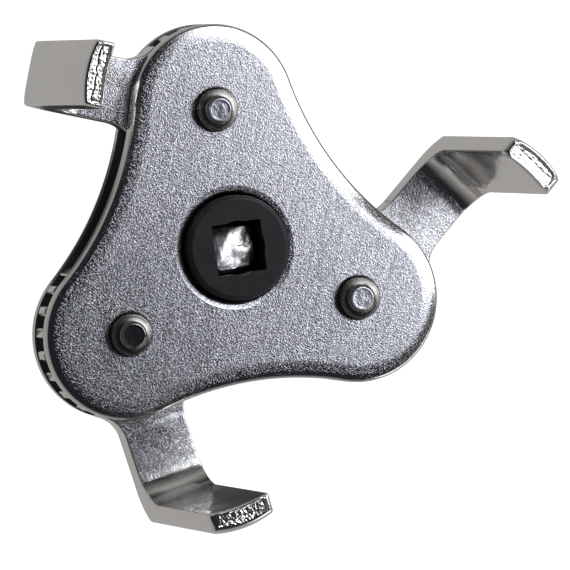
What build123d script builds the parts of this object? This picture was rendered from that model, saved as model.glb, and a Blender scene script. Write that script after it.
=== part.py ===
"""Three-jaw oil filter wrench with a geared, self-closing grip.

Two tri-lobed plates are riveted together by three pivot pins.  Between them sits a
central drive gear.  It meshes with the toothed hub of each of three bent arms, so
turning the drive swings all the claws inwards until they grip the filter.

Frame: millimetres, +Z up, along the drive axis and towards the claws.  The origin is
on the drive axis, at the lower face of the square drive adapter, which the wrench
stands on.  The first pivot pin is towards +Y.
"""

import os
from math import atan2, cos, degrees, hypot, radians, sin

from build123d import *

# ---------------------------------------------------------------- driving dimensions

# The tri-lobed plates.
pin_circle_radius = 26.2
lobe_circle_radius = 26.5
lobe_radius = 15.9
waist_radius = 25.6          # nearest distance from the drive axis to a concave side
plate_thickness = 2.8
plate_gap = 5.8
rim_width = 2.3              # rounded-over outer rim of each plate
rim_depth = 0.6
rim_inner_rounding = 8.0
rim_outer_rounding = 0.7
bore_edge_rounding = 0.9     # drawn-in edge of the punched centre bore
pin_hole_edge_rounding = 0.4

# The gears.
arm_teeth = 23
drive_teeth = 18
arm_tip_radius = 16.0
arm_root_radius = 13.25
drive_tip_radius = 12.6
drive_root_radius = 9.9
arm_tooth_widths = (2.6, 1.75)     # at the root and at the tip
drive_tooth_widths = (1.55, 0.7)
tooth_corner_cut = 0.22

# The arms, measured from their pivot axis.
arm_thickness = 4.8
arm_width = 12.4
claw_inner_distance = 31.7
claw_thickness = 4.8
claw_height = 36.3           # from the front plate's face to the claw's tip
bend_inner_radius = 6.5
bend_outer_radius = 7.0
neck_land_radius = 16.3      # plain rim on each side of the neck
neck_land_angle = 36.0
neck_fillet_radius = 6.0
neck_length = 24.5           # flat part, up to the bend
arm_edge_rounding = 0.4
claw_outer_arch = 1.0        # how far the outer face curves back at its sides
claw_inner_arch = 0.45       # hollow of the inner face at the tip, fading to the bend
claw_side_rounding = 0.8     # the claw's upright outer edges
arch_allowance = 0.1         # stock outside the arched face, all of it cut away

# The drive hub and its square.
hub_radius = 9.9
hub_front_stand = 3.0        # above the front plate
hub_back_stand = 2.4         # below the back plate
hub_edge_rounding = 0.8
drive_square = 9.65          # 3/8 inch drive
square_relief_radius = 5.15

# The pivot pins.
pin_radius = 3.9
pin_collar_stand = 2.1
pin_nib_stand = 1.1
pin_nib_radius = 2.35
pin_head_radius = 6.2
pin_head_height = 1.6

# The square drive adapter, 3/8 inch male to 1/2 inch female.
adapter_radius = 11.0
adapter_height = 24.0
adapter_straight_height = 17.0
adapter_neck_radius = 8.0
adapter_neck_height = 21.5
tang_square = 9.4
tang_corner_radius = 5.9
tang_length = 14.3
socket_square = 12.85
socket_depth = 16.0
grip_groove_count = 3
grip_groove_depth = 0.5
grip_groove_width = 1.2
grip_groove_spacing = 2.4
socket_pin_hole_radius = 1.6
socket_pin_hole_height = 6.5

# The spring-loaded detent ball in the tang.
ball_radius = 1.6
ball_bore_radius = 1.65
ball_bore_depth = 5.6
ball_stand = 0.08
spring_wire_radius = 0.18
spring_radius = 1.2
spring_turns = 4

# Fits.
bearing_clearance = 0.07     # radial, wherever one part turns on another
rivet_clearance = 0.02       # radial, pins in the plates

# --------------------------------------------------------------------- derived places

pin_angles = [90, 210, 330]
# Each arm points back from the drive axis by a whole number of its own tooth pitches,
# so a tooth of the arm lies on the line of centres and meets a gap of the drive gear.
arm_rest_angle = 180 - 7 * 360 / arm_teeth
drive_tooth_phase = 360 / drive_teeth / 2

hub_back_z = adapter_height
back_plate_z = hub_back_z + hub_back_stand
back_plate_top_z = back_plate_z + plate_thickness
front_plate_z = back_plate_top_z + plate_gap
front_face_z = front_plate_z + plate_thickness
hub_front_z = front_face_z + hub_front_stand
collar_z = front_face_z + pin_collar_stand
nib_z = collar_z + pin_nib_stand
arm_bottom_z = back_plate_top_z + (plate_gap - arm_thickness) / 2
arm_top_z = arm_bottom_z + arm_thickness
claw_tip_z = front_face_z + claw_height
claw_outer_distance = claw_inner_distance + claw_thickness
hollow_height = claw_tip_z - arm_top_z - bend_inner_radius
outer_arch_radius = ((arm_width / 2) ** 2 + claw_outer_arch**2) / (2 * claw_outer_arch)
hollow_half_width = arm_width / 2 - 2 * arm_edge_rounding
inner_arch_radius = (hollow_half_width**2 + claw_inner_arch**2) / (2 * claw_inner_arch)
ball_z = adapter_height + tang_length / 2
ball_x = tang_square / 2 + ball_stand - ball_radius


def polar(radius, angle):
    """The point at a radius and an angle in degrees."""
    return radius * cos(radians(angle)), radius * sin(radians(angle))


def export(solid, name):
    """Label one finished piece and write it."""
    solid.label = name
    export_step(solid, f"parts/{name}.step")


os.makedirs("parts", exist_ok=True)

# ------------------------------------------------------------------------- the plates

# A concave side is an arc about a point outside the plate, tangent to both lobes.
lobe_excess = lobe_radius - waist_radius
waist_centre_radius = (lobe_circle_radius**2 - lobe_excess**2) / (lobe_circle_radius + 2 * lobe_excess)
waist_arc_radius = waist_centre_radius - waist_radius
waist_x, waist_y = polar(waist_centre_radius, 60)
lobe_half_arc = degrees(atan2(waist_y, waist_x - lobe_circle_radius))
waist_half_arc = lobe_half_arc - 60


def make_plate(bottom_z, outer_side):
    """One plate; outer_side is 1 for the front plate and -1 for the back plate."""
    outer_z = bottom_z + (plate_thickness if outer_side > 0 else 0)
    with BuildPart() as plate:
        with BuildSketch(Plane.XY.offset(bottom_z)):
            with BuildLine():
                for angle in pin_angles:
                    lobe_centre = polar(lobe_circle_radius, angle)
                    CenterArc(lobe_centre, lobe_radius, angle - lobe_half_arc, 2 * lobe_half_arc)
                    waist_centre = polar(waist_centre_radius, angle + 60)
                    waist_start = angle + 240 + waist_half_arc
                    CenterArc(waist_centre, waist_arc_radius, waist_start, -2 * waist_half_arc)
            make_face()
        extrude(amount=plate_thickness)
        outer_face = plate.faces().filter_by(Axis.Z).sort_by(Axis.Z)[-1 if outer_side > 0 else 0]
        chamfer(outer_face.edges(), length=rim_width, length2=rim_depth, reference=outer_face)
        shoulder_z = outer_z - outer_side * rim_depth
        rim_shoulder = plate.edges().filter_by_position(Axis.Z, shoulder_z - 0.01, shoulder_z + 0.01)
        fillet(rim_shoulder, rim_outer_rounding)
        inner_rim = plate.faces().filter_by(Axis.Z).sort_by(Axis.Z)[-1 if outer_side > 0 else 0].edges()
        fillet(inner_rim, rim_inner_rounding)
        with BuildSketch(Plane.XY.offset(bottom_z)):
            Circle(hub_radius + bearing_clearance)
            with PolarLocations(pin_circle_radius, 3, start_angle=pin_angles[0]):
                Circle(pin_radius + rivet_clearance)
        extrude(amount=plate_thickness, mode=Mode.SUBTRACT)
        hole_rims = plate.edges().filter_by(GeomType.CIRCLE).filter_by_position(
            Axis.Z, outer_z - 0.01, outer_z + 0.01
        )
        hole_rims = hole_rims.filter_by(lambda edge: edge.is_closed).sort_by(SortBy.RADIUS)
        fillet(hole_rims[-1], bore_edge_rounding)
        fillet(hole_rims[:-1], pin_hole_edge_rounding)
    return plate.part


export(make_plate(front_plate_z, 1), "front_plate")
export(make_plate(back_plate_z, -1), "back_plate")

# -------------------------------------------------------------------------- the gears


def tooth_points(root_radius, tip_radius, widths):
    """One straight-flanked tooth along +X, with its tip corners cut."""
    root_half, tip_half = widths[0] / 2, widths[1] / 2
    root_x = root_radius - 0.6
    return [
        (root_x, -root_half),
        (tip_radius - tooth_corner_cut, -tip_half - tooth_corner_cut / 3),
        (tip_radius, -tip_half + tooth_corner_cut),
        (tip_radius, tip_half - tooth_corner_cut),
        (tip_radius - tooth_corner_cut, tip_half + tooth_corner_cut / 3),
        (root_x, root_half),
    ]


with BuildPart() as drive_gear:
    with BuildSketch(Plane.XY.offset(hub_back_z)):
        Circle(hub_radius)
    extrude(amount=hub_front_z - hub_back_z)
    fillet(drive_gear.edges().sort_by(Axis.Z)[-1], hub_edge_rounding)
    with BuildSketch(Plane.XY.offset(arm_bottom_z)):
        Circle(drive_root_radius)
        with PolarLocations(0, drive_teeth, start_angle=drive_tooth_phase + pin_angles[0]):
            Polygon(*tooth_points(drive_root_radius, drive_tip_radius, drive_tooth_widths), align=None)
    extrude(amount=arm_thickness)
    with BuildSketch(Plane.XY.offset(hub_back_z)):
        Rectangle(drive_square, drive_square)
        Circle(square_relief_radius)
    extrude(amount=hub_front_z - hub_back_z, mode=Mode.SUBTRACT)
export(drive_gear.part, "drive_gear")

# --------------------------------------------------------------------------- the arms


def make_arm(pin_angle):
    """A toothed hub, a flat neck and a claw bent up at the end, about one pivot."""
    arm_angle = pin_angle + arm_rest_angle
    pivot = (*polar(pin_circle_radius, pin_angle), 0)
    along = (*polar(1, arm_angle), 0)
    plan = Plane(origin=pivot, x_dir=along, z_dir=(0, 0, 1))
    side = Plane(origin=pivot, x_dir=along, z_dir=-plan.y_dir)
    with BuildPart() as arm:
        with BuildSketch(side):
            Polygon(
                (arm_root_radius - 3, arm_bottom_z),
                (claw_outer_distance + arch_allowance, arm_bottom_z),
                (claw_outer_distance + arch_allowance, claw_tip_z),
                (claw_inner_distance, claw_tip_z),
                (claw_inner_distance, arm_top_z),
                (arm_root_radius - 3, arm_top_z),
                align=None,
            )
            fillet(vertices().sort_by_distance((claw_inner_distance, arm_top_z))[0], bend_inner_radius)
            fillet(vertices().sort_by_distance((claw_outer_distance, arm_bottom_z))[0], bend_outer_radius)
        extrude(amount=arm_width / 2, both=True)

        # The claw is arched across its width: convex outside, and hollow inside with a
        # hollow that fades out towards the bend.
        with BuildSketch(plan.offset(arm_bottom_z)):
            with Locations((claw_outer_distance, 0)):
                Rectangle(2 * bend_outer_radius, 2 * arm_width)
            with BuildSketch(mode=Mode.SUBTRACT):
                with Locations((claw_outer_distance - outer_arch_radius, 0)):
                    Circle(outer_arch_radius)
                with Locations((claw_outer_distance - bend_outer_radius, 0)):
                    Rectangle(2 * bend_outer_radius, arm_width, mode=Mode.INTERSECT)
                fillet(vertices().group_by(Axis.X)[-1], claw_side_rounding)
        extrude(amount=claw_tip_z - arm_bottom_z, mode=Mode.SUBTRACT)
        hollow_direction = Vector(0, 0, -1) - plan.x_dir * (claw_inner_arch / hollow_height)
        with BuildSketch(plan.offset(claw_tip_z)):
            with Locations((claw_inner_distance + claw_inner_arch - inner_arch_radius, 0)):
                Circle(inner_arch_radius)
        extrude(amount=hollow_height, dir=hollow_direction, mode=Mode.SUBTRACT)
        with BuildSketch(plan.offset(arm_bottom_z)):
            with BuildLine():
                land_start = polar(neck_land_radius, -neck_land_angle)
                CenterArc((0, 0), neck_land_radius, -neck_land_angle, 2 * neck_land_angle)
                Line(polar(neck_land_radius, neck_land_angle), (0, 0))
                Line((0, 0), land_start)
            make_face()
            Rectangle(neck_length, arm_width, align=(Align.MIN, Align.CENTER))
            neck_corners = vertices().filter_by(
                lambda v: abs(abs(v.Y) - arm_width / 2) < 0.01
                and abs(hypot(v.X, v.Y) - neck_land_radius) < 0.01
                and v.X > 0
            )
            fillet(neck_corners, neck_fillet_radius)
            Circle(arm_root_radius)
            with PolarLocations(0, arm_teeth):
                Polygon(*tooth_points(arm_root_radius, arm_tip_radius, arm_tooth_widths), align=None)
        extrude(amount=arm_thickness)
        with BuildSketch(plan.offset(arm_bottom_z)):
            Circle(pin_radius + bearing_clearance)
        extrude(amount=arm_thickness, mode=Mode.SUBTRACT)

        # Everything beyond the toothed hub has its sharp edges rounded.
        def is_sharp(edge):
            centre = plan.to_local_coords(edge.center())
            beyond_hub = hypot(centre.X, centre.Y) > neck_land_radius + 0.7
            direction = edge.tangent_at(0.5)
            across = abs(direction.dot(plan.y_dir)) > 0.99 and centre.Z < claw_tip_z - 0.1
            upright = abs(direction.Z) > 0.99 and (centre.Z < arm_top_z or centre.X > claw_inner_distance + 1)
            fading = edge.geom_type == GeomType.BSPLINE
            return beyond_hub and not across and not upright and not fading

        fillet(arm.edges().filter_by(is_sharp), arm_edge_rounding)
    return arm.part


for number, angle in enumerate(pin_angles, start=1):
    export(make_arm(angle), f"arm_{number}")

# --------------------------------------------------------------------- the pivot pins


def make_pin(pin_angle):
    """A turned rivet: head behind the back plate, collar and nib before the front one."""
    pivot = (*polar(pin_circle_radius, pin_angle), 0)
    section = Plane(origin=pivot, x_dir=(1, 0, 0), z_dir=(0, -1, 0))
    head_z = back_plate_z - pin_head_height
    with BuildPart() as pin:
        with BuildSketch(section):
            Polygon(
                (0, head_z),
                (pin_head_radius, head_z),
                (pin_head_radius, back_plate_z),
                (pin_radius, back_plate_z),
                (pin_radius, collar_z),
                (pin_nib_radius + 0.35, collar_z),
                (pin_nib_radius, collar_z + 0.35),
                (pin_nib_radius - 0.15, nib_z),
                (0, nib_z),
                align=None,
            )
            fillet(vertices().sort_by_distance((pin_head_radius, head_z))[0], 0.8)
            fillet(vertices().sort_by_distance((pin_radius, collar_z))[0], 0.3)
            fillet(vertices().sort_by_distance((pin_nib_radius, nib_z))[0], 0.2)
        revolve(axis=Axis(pivot, (0, 0, 1)))
    return pin.part


for number, angle in enumerate(pin_angles, start=1):
    export(make_pin(angle), f"pivot_pin_{number}")

# ------------------------------------------------------------ the square drive adapter

with BuildPart() as drive_adapter:
    with BuildSketch(Plane.XZ):
        Polygon(
            (0, 0),
            (adapter_radius, 0),
            (adapter_radius, adapter_straight_height),
            (adapter_neck_radius, adapter_neck_height),
            (adapter_neck_radius, adapter_height),
            (0, adapter_height),
            align=None,
        )
        fillet(vertices().sort_by_distance((adapter_radius, 0))[0], 0.8)
        fillet(vertices().sort_by_distance((adapter_radius, adapter_straight_height))[0], 2.0)
        fillet(vertices().sort_by_distance((adapter_neck_radius, adapter_neck_height))[0], 2.0)
    revolve(axis=Axis.Z)
    for groove in range(grip_groove_count):
        groove_z = socket_pin_hole_height + 3.4 + groove * grip_groove_spacing
        with BuildSketch(Plane.XY.offset(groove_z)):
            Circle(adapter_radius + 1)
            Circle(adapter_radius - grip_groove_depth, mode=Mode.SUBTRACT)
        extrude(amount=grip_groove_width, mode=Mode.SUBTRACT)
    with BuildSketch(Plane.XY.offset(adapter_height)):
        Rectangle(tang_square, tang_square)
        Circle(tang_corner_radius, mode=Mode.INTERSECT)
    extrude(amount=tang_length)
    chamfer(drive_adapter.faces().sort_by(Axis.Z)[-1].edges(), 0.7)
    with BuildSketch(Plane.XY):
        Rectangle(socket_square, socket_square)
    extrude(amount=socket_depth, mode=Mode.SUBTRACT)
    with BuildSketch(Plane.YZ):
        with Locations((0, socket_pin_hole_height)):
            Circle(socket_pin_hole_radius)
    extrude(amount=adapter_radius + 1, mode=Mode.SUBTRACT)
    with BuildSketch(Plane.YZ.offset(tang_square / 2 - ball_bore_depth)):
        with Locations((0, ball_z)):
            Circle(ball_bore_radius)
    extrude(amount=ball_bore_depth, mode=Mode.SUBTRACT)
export(drive_adapter.part, "drive_adapter")

with BuildPart() as detent_ball:
    with Locations((ball_x, 0, ball_z)):
        Sphere(ball_radius)
export(detent_ball.part, "detent_ball")

spring_start_x = tang_square / 2 - ball_bore_depth + spring_wire_radius
spring_length = ball_x - ball_radius * 0.66 - spring_wire_radius - spring_start_x
with BuildPart() as detent_spring:
    with BuildLine():
        coil = Helix(
            pitch=spring_length / spring_turns,
            height=spring_length,
            radius=spring_radius,
            center=(spring_start_x, 0, ball_z),
            direction=(1, 0, 0),
        )
    with BuildSketch(Plane(origin=coil @ 0, z_dir=coil % 0)):
        Circle(spring_wire_radius)
    sweep(path=coil, is_frenet=True)
export(detent_spring.part, "detent_spring")
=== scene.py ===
"""Looks of the three-jaw oil filter wrench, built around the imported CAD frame."""

from math import cos, exp, hypot, radians, sin

import bmesh
import bpy
from mathutils import Matrix, Vector, geometry, noise

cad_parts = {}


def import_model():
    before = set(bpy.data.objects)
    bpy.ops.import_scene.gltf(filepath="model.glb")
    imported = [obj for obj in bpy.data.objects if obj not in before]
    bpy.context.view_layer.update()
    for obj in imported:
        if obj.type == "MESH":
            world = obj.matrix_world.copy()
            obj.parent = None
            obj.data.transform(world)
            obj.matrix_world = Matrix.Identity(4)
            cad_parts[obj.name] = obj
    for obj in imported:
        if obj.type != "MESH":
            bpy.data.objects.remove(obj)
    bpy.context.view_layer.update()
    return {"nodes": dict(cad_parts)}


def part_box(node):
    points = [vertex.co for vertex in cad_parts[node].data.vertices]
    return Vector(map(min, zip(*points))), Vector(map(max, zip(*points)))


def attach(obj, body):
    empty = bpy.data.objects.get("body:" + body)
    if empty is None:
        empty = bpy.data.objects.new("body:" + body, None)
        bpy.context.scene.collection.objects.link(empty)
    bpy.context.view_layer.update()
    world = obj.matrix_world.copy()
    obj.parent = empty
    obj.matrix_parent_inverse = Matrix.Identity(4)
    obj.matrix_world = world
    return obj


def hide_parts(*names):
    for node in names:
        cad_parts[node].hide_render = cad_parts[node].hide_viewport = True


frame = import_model()

MM = 0.001

# ------------------------------------------------------------------ places, from the CAD

inner_back_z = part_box("back_plate")[1].z
inner_front_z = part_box("front_plate")[0].z
face_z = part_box("front_plate")[1].z
claw_tip_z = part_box("arm_1")[1].z
tang_tip_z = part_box("drive_adapter")[1].z
nib_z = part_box("pivot_pin_1")[1].z

# Radii of the plates' bore and of the pins' collars, round which the painted dark reflections of the hub and
# pins lie.
bore_radius = 10.1 * MM
collar_radius = 3.9 * MM


def middle(name):
    """The middle of a node's box."""
    low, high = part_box(name)
    return (low + high) / 2


# ------------------------------------------------------------------------ node helpers


def new_material(name, colour, roughness, metallic=1.0):
    """A Principled material with plain values, which links may then vary.

    Returns the material, its nodes and its shader.
    """
    material = bpy.data.materials.new(name)
    material.use_nodes = True
    tree = material.node_tree
    shader = tree.nodes["Principled BSDF"]
    shader.inputs["Base Color"].default_value = (*colour, 1)
    shader.inputs["Roughness"].default_value = roughness
    shader.inputs["Metallic"].default_value = metallic
    return material, tree, shader


def node(tree, kind, inputs=None, **settings):
    """Add one node; inputs may be values or output sockets."""
    made = tree.nodes.new(kind)
    for key, value in settings.items():
        setattr(made, key, value)
    for key, value in (inputs or {}).items():
        if isinstance(value, bpy.types.NodeSocket):
            tree.links.new(value, made.inputs[key])
        else:
            made.inputs[key].default_value = value
    return made


def vector_maths(tree, operation, a, b):
    return node(tree, "ShaderNodeVectorMath", {0: a, 1: b}, operation=operation)


def coordinates(tree, origin=(0, 0, 0), stretch=(1, 1, 1), turn=0.0):
    """Object coordinates about an origin, turned about Z by degrees and then scaled per axis."""
    place = node(tree, "ShaderNodeTexCoord").outputs["Object"]
    place = vector_maths(tree, "SUBTRACT", place, tuple(origin)).outputs["Vector"]
    if turn:
        place = node(tree, "ShaderNodeVectorRotate", {"Vector": place, "Angle": radians(turn)}).outputs[0]
    return vector_maths(tree, "MULTIPLY", place, stretch).outputs["Vector"]


def across_axis(tree, origin):
    """The offset from an upright axis, and its length."""
    across = coordinates(tree, origin=origin, stretch=(1, 1, 0))
    return across, node(tree, "ShaderNodeVectorMath", {0: across}, operation="LENGTH").outputs["Value"]


def cloud(tree, size, detail=2.0, roughness=0.5, vector=None):
    """Noise whose features are about size metres across."""
    made = node(tree, "ShaderNodeTexNoise", {
        "Vector": vector or coordinates(tree), "Scale": 1 / size, "Detail": detail, "Roughness": roughness})
    return made.outputs["Fac"]


def ramp(tree, value, low, high, out_low=0.0, out_high=1.0):
    """A value's range low to high mapped onto out_low to out_high, and held beyond it."""
    made = node(tree, "ShaderNodeMapRange", {
        "Value": value, "From Min": low, "From Max": high, "To Min": out_low, "To Max": out_high})
    return made.outputs["Result"]


def spread(tree, value, out_low=0.0, out_high=1.0):
    """The usual range of a noise, mapped onto out_low to out_high."""
    usual_low, usual_high = 0.3, 0.7
    return ramp(tree, value, usual_low, usual_high, out_low, out_high)


def fade(tree, mask, where_zero, where_one):
    """One value where a mask is 0, changing to another where it is 1."""
    return ramp(tree, mask, 0.0, 1.0, where_zero, where_one)


def maths(tree, operation, a, b):
    return node(tree, "ShaderNodeMath", {0: a, 1: b}, operation=operation).outputs[0]


def mix_colour(tree, factor, a, b):
    return node(tree, "ShaderNodeMix", {0: factor, 6: a, 7: b}, data_type="RGBA").outputs[2]


def up_facing(tree, low=0.955, high=0.9988):
    """1 on faces whose normal is along Z, either way, falling to 0 where its Z part is low."""
    normal = node(tree, "ShaderNodeTexCoord").outputs["Normal"]
    z = node(tree, "ShaderNodeSeparateXYZ", {0: normal}).outputs["Z"]
    return ramp(tree, maths(tree, "ABSOLUTE", z, 0.0), low, high)


def height(tree):
    """The height above the frame's origin."""
    return node(tree, "ShaderNodeSeparateXYZ", {0: coordinates(tree)}).outputs["Z"]


def bump(tree, shader, value, strength, distance, below=None):
    """Bump from a height value, over another bump if one is given."""
    made = node(tree, "ShaderNodeBump", {"Strength": strength, "Distance": distance, "Height": value})
    if below:
        tree.links.new(below, made.inputs["Normal"])
    tree.links.new(made.outputs[0], shader.inputs["Normal"])
    return made.outputs[0]


def rings(tree, centre, pitch, distortion):
    """Turning rings about an upright axis, a pitch apart where nothing distorts them."""
    period_at_scale_one = 0.31416
    made = node(tree, "ShaderNodeTexWave", {
        "Vector": coordinates(tree, origin=centre), "Scale": period_at_scale_one / pitch,
        "Distortion": distortion, "Detail": 2.0}, wave_type="RINGS", rings_direction="Z")
    return made.outputs["Fac"]


# --------------------------------------------------------------------------- materials


def sparkle(tree, size):
    """The salt and pepper of a blasted surface under chrome."""
    cells = node(tree, "ShaderNodeTexVoronoi", {"Vector": coordinates(tree), "Scale": 1 / size})
    facet = node(tree, "ShaderNodeSeparateColor", {0: cells.outputs["Color"]}).outputs[0]
    fine = cloud(tree, size, detail=1.0, roughness=0.6)
    return maths(tree, "ADD", maths(tree, "MULTIPLY", facet, 0.5), maths(tree, "MULTIPLY", fine, 0.8))


def painted_reflection(tree, origin, radius, reach):
    """Specks of painted dark reflection of a turned part on the plate round it, most of them on its +X+Y
    side.
    """
    reflection_side = (0.8, 0.6, 0)
    across, distance = across_axis(tree, origin)
    towards = vector_maths(tree, "DOT_PRODUCT", across, reflection_side).outputs["Value"]
    bearing = ramp(tree, maths(tree, "DIVIDE", towards, distance), -0.9, 0.8, 0.1, 1.0)
    near = maths(tree, "MULTIPLY", ramp(tree, distance, radius, radius + reach, 1.0, 0.0), bearing)
    reflection_specks = cloud(tree, 0.28 * MM, detail=2.0, roughness=0.7)
    return ramp(tree, maths(tree, "ADD", near, maths(tree, "MULTIPLY", reflection_specks, 0.8)), 0.78, 1.05)


def blasted_chrome():
    """The plates: grained flats with faint brushed lines, smooth rims and walls, painted dark reflections of
    the hub and pins on the front face, and painted shade on the inner faces between the plates.
    """
    dark_grain, light_grain = (0.48, 0.483, 0.525, 1), (0.73, 0.73, 0.795, 1)
    # The third colour is the painted dark reflection of the hub and pins; the last is painted shade for the
    # plates' inner faces.
    smooth, reflection_colour, inner = (0.60, 0.59, 0.575, 1), (0.05, 0.043, 0.038, 1), (0.15, 0.155, 0.15, 1)
    smooth_roughness, inner_roughness = 0.15, 0.55
    smooth_bump, grain_bump, bump_depth = 0.02, 0.6, 0.1 * MM
    material, tree, shader = new_material("blasted_chrome", (0.66, 0.665, 0.70), 0.22)

    grain = sparkle(tree, 0.24 * MM)
    brushed = cloud(tree, 0.5 * MM, detail=2.0, vector=coordinates(tree, turn=22, stretch=(1, 0.06, 1)))
    level = maths(tree, "ADD", grain, spread(tree, brushed, -0.16, 0.16))
    light = mix_colour(tree, ramp(tree, level, 0.35, 0.95), dark_grain, light_grain)
    flat = up_facing(tree)
    colour = mix_colour(tree, flat, smooth, light)

    # Painted reflection: dark specks standing for the black hub and the pin collars mirrored in the front
    # face's grain.
    reflection_mask = painted_reflection(tree, (0, 0, 0), bore_radius, 1.6 * MM)
    for number in (1, 2, 3):
        reflection_specks = painted_reflection(tree, middle(f"pivot_pin_{number}"), collar_radius, 1.2 * MM)
        reflection_mask = maths(tree, "MAXIMUM", reflection_mask, reflection_specks)
    z = height(tree)
    front = ramp(tree, z, face_z - 0.8 * MM, face_z - 0.6 * MM)
    colour = mix_colour(tree, maths(tree, "MULTIPLY", reflection_mask, front), colour, reflection_colour)

    # Painted shade: the plates' inner faces, facing each other across the gap, are darkened and roughened.
    above = ramp(tree, z, inner_back_z - 0.06 * MM, inner_back_z - 0.01 * MM)
    below = ramp(tree, z, inner_front_z + 0.01 * MM, inner_front_z + 0.06 * MM, 1.0, 0.0)
    inside = maths(tree, "MULTIPLY", above, below)
    tree.links.new(mix_colour(tree, inside, colour, inner), shader.inputs["Base Color"])

    patches = spread(tree, cloud(tree, 9 * MM, detail=3.0), 0.16, 0.20)
    blasted = maths(tree, "MULTIPLY", flat, patches)
    rough = maths(tree, "MAXIMUM", blasted, maths(tree, "MULTIPLY", inside, inner_roughness))
    tree.links.new(maths(tree, "MAXIMUM", rough, smooth_roughness), shader.inputs["Roughness"])

    walls = cloud(tree, 0.5 * MM, vector=coordinates(tree, stretch=(1, 1, 0.08)))
    relief = bump(tree, shader, walls, 0.06, bump_depth)
    from_centre = across_axis(tree, (0, 0, 0))[1]
    drawn_in = ramp(tree, from_centre, bore_radius + 0.4 * MM, bore_radius + 1.6 * MM)
    relief = bump(tree, shader, drawn_in, 1.0, 0.2 * MM, relief)
    bump(tree, shader, grain, fade(tree, flat, smooth_bump, grain_bump), bump_depth, relief)
    return material


def arm_chrome():
    """The arms: grained flats, and drawn streaks along the bend and the claw."""
    smooth = (0.73, 0.715, 0.695, 1)
    dark_grain, light_grain = (0.42, 0.42, 0.46, 1), (0.86, 0.86, 0.89, 1)
    material, tree, shader = new_material("arm_chrome", smooth[:3], 0.16)

    grain = sparkle(tree, 0.25 * MM)
    below_bend = ramp(tree, height(tree), face_z, face_z + 2 * MM, 1.0, 0.0)
    flat = maths(tree, "MULTIPLY", up_facing(tree, 0.90, 0.995), below_bend)
    light = mix_colour(tree, ramp(tree, grain, 0.35, 0.95), dark_grain, light_grain)
    tree.links.new(mix_colour(tree, flat, smooth, light), shader.inputs["Base Color"])

    soft = cloud(tree, 7 * MM, detail=2.0)
    polish = spread(tree, soft, 0.12, 0.22)
    rough = maths(tree, "ADD", polish, maths(tree, "MULTIPLY", flat, 0.02))
    tree.links.new(rough, shader.inputs["Roughness"])

    streaks = cloud(tree, 0.45 * MM, detail=3.0, vector=coordinates(tree, stretch=(1, 1, 0.03)))
    relief = bump(tree, shader, streaks, 0.12, 0.05 * MM)
    relief = bump(tree, shader, soft, 0.35, 0.5 * MM, relief)
    bump(tree, shader, grain, fade(tree, flat, 0.0, 0.65), 0.1 * MM, relief)
    return material


def torn_chrome():
    """The sheared ends of the claws, rough under the chrome."""
    dark, light = (0.62, 0.62, 0.65, 1), (0.95, 0.95, 0.97, 1)
    material, tree, shader = new_material("torn_chrome", (0.88, 0.88, 0.90), 0.4)
    pits = cloud(tree, 0.3 * MM, detail=3.0, roughness=0.6)
    tree.links.new(mix_colour(tree, ramp(tree, pits, 0.35, 0.6), dark, light), shader.inputs["Base Color"])
    tree.links.new(spread(tree, pits, 0.34, 0.46), shader.inputs["Roughness"])
    bump(tree, shader, pits, 0.25, 0.08 * MM)
    return material


def pin_chrome(name, pin, nib_roughness, nib_colour):
    """A turned pin, with fine rings about its own axis and a nib of its own finish."""
    turned = (0.19, 0.185, 0.175, 1)
    material, tree, shader = new_material(name, turned[:3], 0.26)
    centre = middle(pin)
    pits = cloud(tree, 0.4 * MM, detail=3.0, roughness=0.65)
    nib = ramp(tree, height(tree), nib_z - 0.45 * MM, nib_z - 0.3 * MM)
    tree.links.new(mix_colour(tree, nib, turned, nib_colour), shader.inputs["Base Color"])
    turned_roughness = spread(tree, pits, 0.22, 0.30)
    tree.links.new(fade(tree, nib, turned_roughness, nib_roughness), shader.inputs["Roughness"])
    relief = bump(tree, shader, rings(tree, (centre.x, centre.y, 0), 0.589 * MM, 1.5), 0.02, 0.03 * MM)
    bump(tree, shader, pits, fade(tree, nib, 0.12, 1.2 * nib_roughness), 0.06 * MM, relief)
    return material


def black_steel():
    """The blackened drive gear, with faint turning rings on its faces."""
    dark, light = (0.008, 0.008, 0.011, 1), (0.015, 0.0145, 0.018, 1)
    material, tree, shader = new_material("black_steel", (0.012, 0.012, 0.015), 0.42, metallic=0.0)
    shader.inputs["Specular IOR Level"].default_value = 0.25
    bloom = cloud(tree, 2.5 * MM, detail=5.0, roughness=0.6)
    tree.links.new(mix_colour(tree, spread(tree, bloom), dark, light), shader.inputs["Base Color"])
    tree.links.new(spread(tree, bloom, 0.36, 0.52), shader.inputs["Roughness"])
    turning = rings(tree, (0, 0, 0), 0.687 * MM, 2.0)
    relief = bump(tree, shader, turning, fade(tree, up_facing(tree), 0.0, 0.1), 0.03 * MM)
    bump(tree, shader, cloud(tree, 0.5 * MM, detail=3.0), 0.1, 0.04 * MM, relief)
    return material


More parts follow.
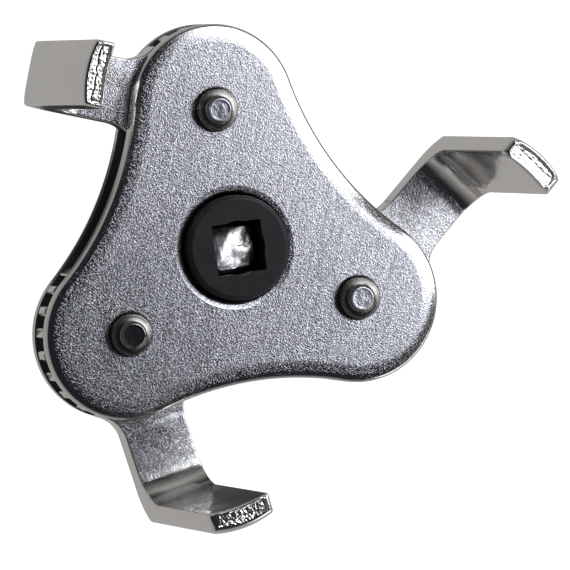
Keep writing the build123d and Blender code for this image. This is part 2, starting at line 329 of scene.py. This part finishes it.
def adapter_chrome():
    """The square drive adapter: smooth barrel, forged tang."""
    dark, light = (0.46, 0.46, 0.47, 1), (0.68, 0.68, 0.69, 1)
    material, tree, shader = new_material("adapter_chrome", (0.72, 0.72, 0.725), 0.16)
    patches = cloud(tree, 1.6 * MM, detail=5.0, roughness=0.65)
    tree.links.new(mix_colour(tree, ramp(tree, patches, 0.35, 0.7), dark, light), shader.inputs["Base Color"])
    forged = ramp(tree, height(tree), tang_tip_z - 4 * MM, tang_tip_z - 3 * MM)
    rough = maths(tree, "ADD", spread(tree, patches, 0.12, 0.22), maths(tree, "MULTIPLY", forged, 0.14))
    tree.links.new(rough, shader.inputs["Roughness"])
    lines = cloud(tree, 0.25 * MM, detail=2.0, vector=coordinates(tree, stretch=(0.05, 0.05, 1)))
    relief = bump(tree, shader, lines, 0.06, 0.03 * MM)
    bump(tree, shader, patches, fade(tree, forged, 0.03, 0.18), 0.15 * MM, relief)
    return material


def spring_steel():
    """The detent ball and its spring."""
    material, tree, shader = new_material("spring_steel", (0.6, 0.6, 0.6), 0.25)
    pits = cloud(tree, 0.5 * MM, detail=3.0)
    tree.links.new(spread(tree, pits, 0.15, 0.32), shader.inputs["Roughness"])
    bump(tree, shader, pits, 0.1, 0.03 * MM)
    return material


def dress(piece, *materials):
    """Give a piece these materials in place of its own."""
    slots = piece.data.materials
    slots.clear()
    for material in materials:
        slots.append(material)


# ------------------------------------------------------------------------ worn end faces


def smooth_step(value, low, high):
    """0 below low and 1 above high, with an easy change between."""
    t = min(max((value - low) / (high - low), 0.0), 1.0)
    return t * t * (3 - 2 * t)


def edge_distance(point, outline):
    """Distance from a flat point to the nearest outline segment."""
    nearest = 1.0
    for a, b in outline:
        foot, share = geometry.intersect_point_line(point, a, b)
        share = min(max(share, 0.0), 1.0)
        nearest = min(nearest, (point - a.lerp(b, share)).length)
    return nearest


def grid_over(outline, step):
    """Points in staggered rows over a flat outline, with their distances to it, in millimetres."""
    corners = [point for segment in outline for point in segment]
    low = Vector((min(p.x for p in corners), min(p.y for p in corners)))
    high = Vector((max(p.x for p in corners), max(p.y for p in corners)))
    points = []
    for row in range(int((high.y - low.y) / step) + 1):
        shift = 0.5 * step * (row % 2)
        for column in range(int((high.x - low.x) / step) + 1):
            points.append(low + Vector((column * step + shift, row * step)))
    return [(point, edge_distance(point, outline)) for point in points]


def refine_cap(mesh_data, top_z, spacing):
    """Mesh the flat cap at top_z finely; returns its inner vertices with their edge distances."""
    upright, same_level = 0.999, 0.01 * MM
    edge_margin = 0.6
    top = [face for face in mesh_data.faces
           if face.normal.z > upright and abs(face.calc_center_median().z - top_z) < same_level]
    inside = set(top)
    border = [edge for face in top for edge in face.edges
              if sum(other in inside for other in edge.link_faces) == 1]
    ring = list({vertex for edge in border for vertex in edge.verts})
    place = {vertex: i for i, vertex in enumerate(ring)}
    flat = [vertex.co.xy / MM for vertex in ring]
    links = [(place[edge.verts[0]], place[edge.verts[1]]) for edge in border]
    outline = [(flat[i], flat[j]) for i, j in links]
    step = spacing / MM
    kept = [(point, gap) for point, gap in grid_over(outline, step) if gap > edge_margin * step]
    ring_size = len(ring)
    inside_only, tolerance = 1, 1e-4
    made = geometry.delaunay_2d_cdt(flat + [point for point, gap in kept], links, [], inside_only, tolerance)
    points, triangles, origins = made[0], made[2], made[3]
    bmesh.ops.delete(mesh_data, geom=top, context="FACES_KEEP_BOUNDARY")
    vertices, inner = [], []
    for point, sources in zip(points, origins):
        known = [source for source in sources if source < ring_size]
        if known:
            vertices.append(ring[known[0]])
        else:
            vertex = mesh_data.verts.new((point.x * MM, point.y * MM, top_z))
            vertices.append(vertex)
            inner.append((vertex, kept[sources[0] - ring_size][1] * MM))
    for triangle in triangles:
        face = mesh_data.faces.new([vertices[i] for i in triangle])
        face.smooth = True
    return inner


def worn_copy(name, body, top_z, spacing, shape):
    """A copy of a CAD node whose end face is re-meshed finely and shaped, in its place."""
    weld, sharp_angle = 0.001 * MM, 32
    mesh_data = bmesh.new()
    mesh_data.from_mesh(frame["nodes"][name].data)
    bmesh.ops.remove_doubles(mesh_data, verts=mesh_data.verts, dist=weld)
    shape(mesh_data, refine_cap(mesh_data, top_z, spacing))
    mesh_data.normal_update()
    bmesh.ops.recalc_face_normals(mesh_data, faces=mesh_data.faces)
    mesh = bpy.data.meshes.new(f"{name}_finished")
    mesh_data.to_mesh(mesh)
    mesh_data.free()
    mesh.shade_smooth()
    mesh.set_sharp_from_angle(angle=radians(sharp_angle))
    piece = bpy.data.objects.new(f"{name}_finished", mesh)
    bpy.context.collection.objects.link(piece)
    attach(piece, body)
    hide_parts(name)
    return piece


def rounding_drop(gap, radius):
    """How far a rounded edge has fallen at a distance in from the silhouette."""
    return radius - (radius * radius - (radius - min(gap, radius)) ** 2) ** 0.5


def tip_middle(arm):
    """The middle of a claw's flat end."""
    tops = [v.co for v in frame["nodes"][arm].data.vertices if v.co.z > claw_tip_z - 0.01 * MM]
    return sum(tops, Vector()) / len(tops)


def wander(x, y, pattern, seed=Vector()):
    """Smooth noise about zero, with one swell per unit or so."""
    return noise.noise(Vector((x, y, pattern)) + seed)


def torn_depth(u, v, seed):
    """Depth of a torn surface, u across the bar and v outwards: a step with a crack, ridges and grains."""
    start, crack_depth, crack_width = 0.3, 0.10, 0.12
    step_height, ridge_height, grain_height = 0.10, 0.12, 0.04
    crack_line = v - 0.1 - 0.35 * wander(u * 0.9, 0, 0, seed)
    step = step_height * smooth_step(crack_line, -crack_width, crack_width)
    crack = crack_depth * exp(-(crack_line / crack_width) ** 2)
    ridges = ridge_height * (0.5 + 0.5 * wander(u * 1.7, v * 0.5, 0, seed))
    grains = grain_height * wander(u * 3.5, v * 2.5, 3, seed)
    return start + (step + crack) + ridges + grains


def sheared_end(pin, arm, outer_rounding, side_rounding, slope):
    """The end of a sheared bar: rounded edges, and a torn surface within them that leans along X."""
    claw = tip_middle(arm)
    along = (claw - middle(pin)).xy.normalized()
    across = Vector((-along.y, along.x))
    seed = Vector((claw.x, claw.y, 0)) / MM
    inner_rounding, cad_rounding = 0.5, 0.4
    side_start, side_end = 4.2, 5.4

    def shape(mesh_data, inner):
        gaps = {vertex: cad_rounding + edge_gap / MM for vertex, edge_gap in inner}
        for vertex in mesh_data.verts:
            rise = (vertex.co.z - claw_tip_z) / MM + cad_rounding
            if rise > -0.01 and vertex not in gaps:
                gaps[vertex] = cad_rounding - max(cad_rounding**2 - rise * rise, 0.0) ** 0.5
        torn = {}
        for vertex, gap in gaps.items():
            local = (vertex.co.xy - claw.xy) / MM
            u, v = local.dot(across), local.dot(along)
            radius = inner_rounding + (outer_rounding - inner_rounding) * smooth_step(v, -0.8, 0.6)
            radius += max(side_rounding - radius, 0.0) * smooth_step(abs(u), side_start, side_end)
            ragged = 0.15 * wander(u * 2.0, v * 2.0, 9, seed)
            torn[vertex] = smooth_step(gap + ragged, radius - 0.1, radius + 0.25)
            tear = max(torn_depth(u, v, seed) + slope * local.x, 0.0) * torn[vertex]
            vertex.co.z = claw_tip_z - (rounding_drop(gap, radius) + tear) * MM
        for face in mesh_data.faces:
            if min(torn.get(vertex, 0.0) for vertex in face.verts) > 0.3:
                face.material_index = 1

    return shape


def soft_plus(value, width):
    """Zero below nothing and value above it, with the corner rounded over a width."""
    return 0.5 * (value + (value * value + width * width) ** 0.5)


def forged_tang(mesh_data, inner):
    """A hammered end in three facets with a crease, rounded off more on its +X side."""
    start, worked_length = 0.8, 1.2
    for vertex in mesh_data.verts:
        x, y, z = vertex.co / MM
        if z < tang_tip_z / MM - worked_length:
            continue
        facets = 0.15 * x + 0.19 * y
        facets += 0.42 * soft_plus(-0.85 * (x + 1.0) + 0.52 * (y - 2.1), 0.4)
        facets += 0.30 * soft_plus(-(y + 0.5), 0.8)
        sides = 0.4 * smooth_step(-x, 3.9, 4.9) + 0.4 * smooth_step(abs(y), 3.9, 4.9)
        bulge = 0.9 * smooth_step(hypot(x - 0.2, 0.9 * y), 4.3, 5.5) * smooth_step(x, 0.5, 2.5)
        lumps = 0.22 * wander(x * 0.33, y * 0.33, 2) + 0.04 * wander(x * 0.9, y * 0.9, 8)
        grains = 0.02 * wander(x * 3.0, y * 3.0, 5)
        crease_line = y + 0.2 - 0.15 * x + 0.7 * wander(x * 0.9, 0, 7)
        crease = 0.12 * exp(-(crease_line / 0.15) ** 2) + 0.05 * max(-crease_line, 0.0)
        crease *= smooth_step(x, -0.2, 1.5)
        vertex.co.z -= max(start + facets + sides + bulge + lumps + grains + crease, 0.0) * MM


def dented_nib(mesh_data, inner):
    """The rough, slightly sunken top of a riveted nib."""
    dent_depth, grain_height, edge_width = 0.04, 0.012, 0.5
    for vertex, edge_gap in inner:
        x, y, z = vertex.co / MM
        dents = dent_depth * (0.5 + 0.5 * wander(x * 0.9, y * 0.9, 1))
        dents += grain_height * wander(x * 3.0, y * 3.0, 4)
        vertex.co.z -= max(dents, 0.0) * smooth_step(edge_gap / MM, 0.0, edge_width) * MM


plate_finish = blasted_chrome()
dress(frame["nodes"]["front_plate"], plate_finish)
dress(frame["nodes"]["back_plate"], plate_finish)
dress(frame["nodes"]["drive_gear"], black_steel())
arm_finish, torn_finish = arm_chrome(), torn_chrome()

# Each claw's outer rounding, side rounding and slope, and each nib's roughness and colour.
claw_ends = {1: (0.9, 0.7, 0.10), 2: (1.4, 1.0, 0.08), 3: (0.7, 1.6, 0.03)}
nib_finishes = {
    1: (0.2, (0.54, 0.55, 0.61, 1)),
    2: (0.12, (0.36, 0.36, 0.36, 1)),
    3: (0.22, (0.64, 0.65, 0.70, 1))}
for number in (1, 2, 3):
    arm, pin = f"arm_{number}", f"pivot_pin_{number}"
    end_shape = sheared_end(pin, arm, *claw_ends[number])
    dress(worn_copy(arm, arm, claw_tip_z, 0.13 * MM, end_shape), arm_finish, torn_finish)
    finish = pin_chrome(f"pin_chrome_{number}", pin, *nib_finishes[number])
    dress(worn_copy(pin, "frame", nib_z, 0.12 * MM, dented_nib), finish)
adapter = worn_copy("drive_adapter", "adapter", tang_tip_z, 0.15 * MM, forged_tang)
dress(adapter, adapter_chrome())
spring_finish = spring_steel()
dress(frame["nodes"]["detent_ball"], spring_finish)
dress(frame["nodes"]["detent_spring"], spring_finish)

# ------------------------------------------------------------------------- the studio


def floor():
    """A plain pale floor that gives its own light and isn't mirrored in the chrome."""
    bpy.ops.mesh.primitive_plane_add(size=3.0, location=(0, 0, 0))
    made = bpy.context.object
    made.name = "studio_floor"
    material, tree, shader = new_material("studio_white", (0.35, 0.35, 0.35), 0.8, metallic=0.0)
    shader.inputs["Emission Color"].default_value = (1, 1, 1, 1)
    shader.inputs["Emission Strength"].default_value = 0.96
    made.data.materials.append(material)
    made.visible_glossy = False


def world():
    """A studio that is pale below and at the horizon and dim overhead."""
    pale, dim = (0.78, 0.765, 0.745, 1), (0.035, 0.037, 0.045, 1)
    made = bpy.data.worlds.new("studio")
    bpy.context.scene.world = made
    made.use_nodes = True
    tree = made.node_tree
    direction = node(tree, "ShaderNodeTexCoord").outputs["Generated"]
    z = node(tree, "ShaderNodeSeparateXYZ", {0: direction}).outputs["Z"]
    background = tree.nodes["Background"]
    tree.links.new(mix_colour(tree, ramp(tree, z, 0.1, 0.7), pale, dim), background.inputs["Color"])
    background.inputs["Strength"].default_value = 0.56


def shade_card():
    """The shade under the wrench, seen only in reflections."""
    bpy.ops.mesh.primitive_circle_add(radius=36 * MM, location=(0, 0, 0.5 * MM), fill_type="NGON")
    made = bpy.context.object
    made.name = "shade_card"
    material, tree, shader = new_material("shade", (0.22, 0.22, 0.22), 0.9, metallic=0.0)
    made.data.materials.append(material)
    made.visible_camera = made.visible_diffuse = made.visible_shadow = False


def softbox(name, tilt, bearing, size, power):
    """A panel tilted from overhead that faces the wrench; its size is across and along the tilt."""
    distance = 0.4
    target = Vector((0, 0, face_z))
    reach, rise = distance * sin(radians(tilt)), distance * cos(radians(tilt))
    offset = Vector((reach * cos(radians(bearing)), reach * sin(radians(bearing)), rise))
    light = bpy.data.lights.new(name, "AREA")
    light.shape = "RECTANGLE"
    light.size, light.size_y = size
    light.energy = power
    light.color = (0.95, 0.97, 1.0)
    made = bpy.data.objects.new(name, light)
    bpy.context.collection.objects.link(made)
    made.location = target + offset
    made.rotation_euler = (-offset).to_track_quat("-Z", "Y").to_euler()


floor()
world()
shade_card()

# One large softbox at the right, brighter further down, as three panels across it, and a small one lower.
for tilt, power in ((27, 0.25), (38, 0.40), (50, 0.70)):
    softbox(f"softbox_{tilt}", tilt, 25, (0.35, 0.085), power)
softbox("right_low", 66, -45, (0.25, 0.12), 0.2)

# The camera stands far off and above, so the wrench is seen almost square on.
camera_aim = Vector((7.87, -8.27, 40.80)) * MM
camera_distance = 1409.3 * MM
camera_azimuth, camera_elevation, camera_roll = -102.978, 72.536, 94.453

camera_data = bpy.data.cameras.new("camera")
camera_data.sensor_width = 36
camera_data.lens = 472.72
camera_data.clip_end = 10
camera = bpy.data.objects.new("camera", camera_data)
bpy.context.collection.objects.link(camera)
turn = Matrix.Rotation(radians(camera_azimuth), 4, "Z")
turn = turn @ Matrix.Rotation(radians(90 - camera_elevation), 4, "X")
turn = turn @ Matrix.Rotation(radians(camera_roll), 4, "Z")
camera.matrix_world = Matrix.Translation(camera_aim) @ turn @ Matrix.Translation((0, 0, camera_distance))
bpy.context.scene.camera = camera
bpy.context.scene.view_settings.view_transform = "Standard"
